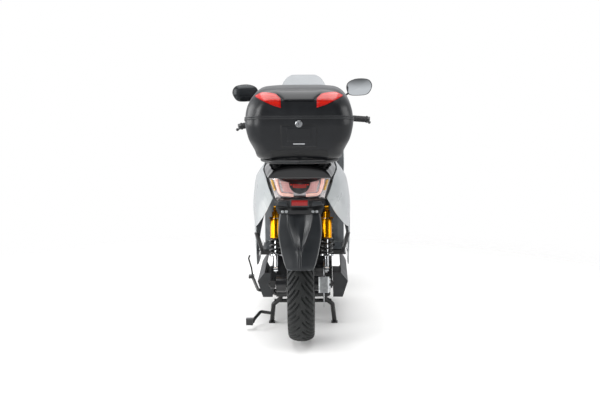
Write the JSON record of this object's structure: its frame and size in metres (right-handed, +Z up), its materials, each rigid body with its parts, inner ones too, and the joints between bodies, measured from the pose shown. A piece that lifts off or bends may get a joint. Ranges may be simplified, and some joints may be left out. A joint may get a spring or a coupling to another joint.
{
  "type": "moped scooter",
  "caption": "Electric moped scooter with a step-through floor, long seat, windscreen, mirrors and a rear top case, standing on its centre stand.",
  "frame": {"origin": "middle of the bounding box at ground level, under the scooter on its centre stand", "axes": "+Y forwards along the scooter, +X to its right, +Z up"},
  "size_m": [0.7228, 1.9249, 1.176],
  "materials": {
    "body_paint": "satin grey-white paint on plastic panels",
    "black_plastic": "textured black",
    "dark_plastic": "satin dark grey",
    "case_plastic": "fine grained charcoal",
    "gloss_black": "gloss",
    "red_lens": "gloss lens",
    "clear_lens": "clear",
    "screen": "clear",
    "rubber": "matt",
    "tyre": "matt",
    "alloy": "cast satin",
    "black_alloy": "painted satin black",
    "gold_alloy": "anodised",
    "steel": "ground",
    "chrome": "polished",
    "frame_paint": "semi-gloss black",
    "spring_paint": "gloss black",
    "vinyl": "grained vinyl"
  },
  "bodies": {
    "chassis": {"frame": "frame_paint", "power_pack": "dark_plastic", "storage_bucket": "black_plastic", "front_cowl": "body_paint", "headlamp": "clear_lens", "windscreen": "screen", "inner_shield": "black_plastic", "floorboard": "black_plastic", "right_lower_cowl": "dark_plastic", "left_lower_cowl": "dark_plastic", "right_side_panel": "body_paint", "left_side_panel": "body_paint", "tail_cover": "black_plastic", "taillight": "red_lens", "undertail": "black_plastic", "red_reflector": "red_lens", "rear_fender": "black_plastic", "rack": "black_alloy", "box_shell": "case_plastic"},
    "steering": {"steering_stem": "steel", "stanchions": "chrome", "handlebar": "frame_paint", "handlebar_cover": "black_plastic", "left_grip": "rubber", "left_controls": "black_plastic", "right_controls": "black_plastic"},
    "throttle": {"throttle_grip": "rubber"},
    "left_lever": {"left_lever": "black_alloy"},
    "right_lever": {"right_lever": "black_alloy"},
    "left_mirror_stem": {"left_mirror_stem": "frame_paint"},
    "right_mirror_stem": {"right_mirror_stem": "frame_paint"},
    "left_mirror_head": {"left_mirror_head": "gloss_black"},
    "right_mirror_head": {"right_mirror_head": "gloss_black"},
    "horn_button": {"horn_button": "gloss_black"},
    "start_button": {"start_button": "gloss_black"},
    "indicator_switch": {"indicator_switch": "gloss_black"},
    "fork_lower": {"fork_lowers": "black_alloy", "front_fender": "dark_plastic", "front_caliper": "alloy"},
    "front_wheel": {"front_rim": "black_alloy", "front_tyre": "tyre", "front_disc": "steel"},
    "swingarm": {"swingarm": "frame_paint", "drive_unit": "alloy", "rear_caliper": "alloy"},
    "rear_wheel": {"rear_rim": "black_alloy", "rear_tyre": "tyre", "rear_disc": "steel"},
    "shock_body": {"shock_bodies": "gold_alloy", "shock_springs": "spring_paint"},
    "shock_rod": {"shock_rods": "chrome"},
    "centre_stand": {"centre_stand": "frame_paint"},
    "side_stand": {"side_stand": "frame_paint"},
    "left_peg": {"left_peg": "black_alloy"},
    "right_peg": {"right_peg": "black_alloy"},
    "seat": {"seat_cushion": "vinyl", "seat_pan": "black_plastic"},
    "lid": {"box_lid": "case_plastic", "box_reflectors": "red_lens"},
    "lock": {"box_lock": "alloy"}
  },
  "joints": [
    {"name": "steering", "type": "hinge", "parent": "chassis", "child": "steering", "pos_m": [0, 0.66568, 0.25038], "axis": [0, -0.4462, 0.8949], "range_deg": [-41.3, 30.7]},
    {"name": "fork_travel", "type": "slide", "parent": "steering", "child": "fork_lower", "axis": [0, -0.4462, 0.8949], "range_m": [0, 0.07], "stiffness_N_per_m": 9000, "springref_m": -0.05},
    {"name": "front_wheel_spin", "type": "hinge", "parent": "fork_lower", "child": "front_wheel", "pos_m": [-0.00323, 0.69687, 0.26593], "axis": [0.9957, 0.0827, 0.0412], "continuous": true},
    {"name": "rear_suspension", "type": "hinge", "parent": "chassis", "child": "swingarm", "pos_m": [0, -0.263, 0.385], "axis": [-1, 0, 0], "range_deg": [0, 11], "stiffness_Nm_per_rad": 3500, "springref_deg": -14.32},
    {"name": "rear_wheel_spin", "type": "hinge", "parent": "swingarm", "child": "rear_wheel", "pos_m": [0, -0.663, 0.277], "axis": [1, 0, 0], "continuous": true},
    {"name": "shock_tilt", "type": "hinge", "parent": "chassis", "child": "shock_body", "pos_m": [0, -0.578, 0.605], "axis": [-1, 0, 0], "range_deg": [0, 5.45]},
    {"name": "shock_stroke", "type": "slide", "parent": "shock_body", "child": "shock_rod", "axis": [0, 0.2365, 0.9716], "range_m": [0, 0.07041], "deforming": ["shock_springs"]},
    {"name": "centre_stand_fold", "type": "hinge", "parent": "chassis", "child": "centre_stand", "pos_m": [0, -0.293, 0.15], "axis": [1, 0, 0], "range_deg": [-82, 0]},
    {"name": "side_stand_fold", "type": "hinge", "parent": "chassis", "child": "side_stand", "pos_m": [-0.15, -0.063, 0.112], "axis": [0.9252, 0, -0.3795], "range_deg": [0, 112], "stiffness_Nm_per_rad": 0.5, "springref_deg": -85.94},
    {"name": "seat_lift", "type": "hinge", "parent": "chassis", "child": "seat", "pos_m": [0, 0.052, 0.706], "axis": [-1, 0, 0], "range_deg": [0, 62]},
    {"name": "lid_lift", "type": "hinge", "parent": "chassis", "child": "lid", "pos_m": [0, -0.541, 0.985], "axis": [-1, 0, 0], "range_deg": [0, 70]},
    {"name": "lid_lock_turn", "type": "hinge", "parent": "chassis", "child": "lock", "pos_m": [0, -0.96, 1.027], "axis": [0, 1, 0], "range_deg": [0, 90]},
    {"name": "left_peg_fold", "type": "hinge", "parent": "chassis", "child": "left_peg", "pos_m": [-0.19, -0.333, 0.362], "axis": [0, -1, 0], "range_deg": [0, 73]},
    {"name": "right_peg_fold", "type": "hinge", "parent": "chassis", "child": "right_peg", "pos_m": [0.19, -0.333, 0.362], "axis": [0, 1, 0], "range_deg": [0, 73]},
    {"name": "throttle_twist", "type": "hinge", "parent": "steering", "child": "throttle", "pos_m": [0.20389, 0.31615, 0.95104], "axis": [0.9928, -0.0971, -0.0703], "range_deg": [0, 70], "stiffness_Nm_per_rad": 0.4, "springref_deg": -17.19},
    {"name": "left_brake_squeeze", "type": "hinge", "parent": "steering", "child": "left_lever", "pos_m": [-0.17802, 0.33429, 0.94556], "axis": [0, -0.4462, 0.8949], "range_deg": [0, 8.5], "stiffness_Nm_per_rad": 6, "springref_deg": -5.73},
    {"name": "left_mirror_swivel", "type": "hinge", "parent": "steering", "child": "left_mirror_stem", "pos_m": [-0.17167, 0.30922, 0.98815], "axis": [0, -0.4462, 0.8949], "range_deg": [-25, 25]},
    {"name": "left_mirror_tilt", "type": "hinge", "parent": "left_mirror_stem", "child": "left_mirror_head", "pos_m": [-0.27041, 0.29558, 1.07152], "axis": [0.9957, 0.0827, 0.0412], "range_deg": [-8, 8]},
    {"name": "right_brake_squeeze", "type": "hinge", "parent": "steering", "child": "right_lever", "pos_m": [0.17248, 0.36339, 0.96006], "axis": [0, 0.4462, -0.8949], "range_deg": [0, 8.5], "stiffness_Nm_per_rad": 6, "springref_deg": -5.73},
    {"name": "right_mirror_swivel", "type": "hinge", "parent": "steering", "child": "right_mirror_stem", "pos_m": [0.16687, 0.33733, 1.00216], "axis": [0, -0.4462, 0.8949], "range_deg": [-25, 25]},
    {"name": "right_mirror_tilt", "type": "hinge", "parent": "right_mirror_stem", "child": "right_mirror_head", "pos_m": [0.25932, 0.33955, 1.09345], "axis": [0.9957, 0.0827, 0.0412], "range_deg": [-8, 8]},
    {"name": "horn_press", "type": "slide", "parent": "steering", "child": "horn_button", "axis": [-0.0924, 0.8911, 0.4443], "range_m": [0, 0.0025], "stiffness_N_per_m": 800, "springref_m": -0.001},
    {"name": "start_press", "type": "slide", "parent": "steering", "child": "start_button", "axis": [-0.0924, 0.8911, 0.4443], "range_m": [0, 0.0025], "stiffness_N_per_m": 800, "springref_m": -0.001},
    {"name": "indicator_slide", "type": "slide", "parent": "steering", "child": "indicator_switch", "axis": [0.9957, 0.0827, 0.0412], "range_m": [-0.0035, 0.0035], "stiffness_N_per_m": 300}
  ],
  "couplings": [
    {"joint": "shock_tilt", "follows": "rear_suspension", "ratio": 0.49099},
    {"joint": "shock_stroke", "follows": "rear_suspension", "m_per_rad": 0.36414}
  ]
}
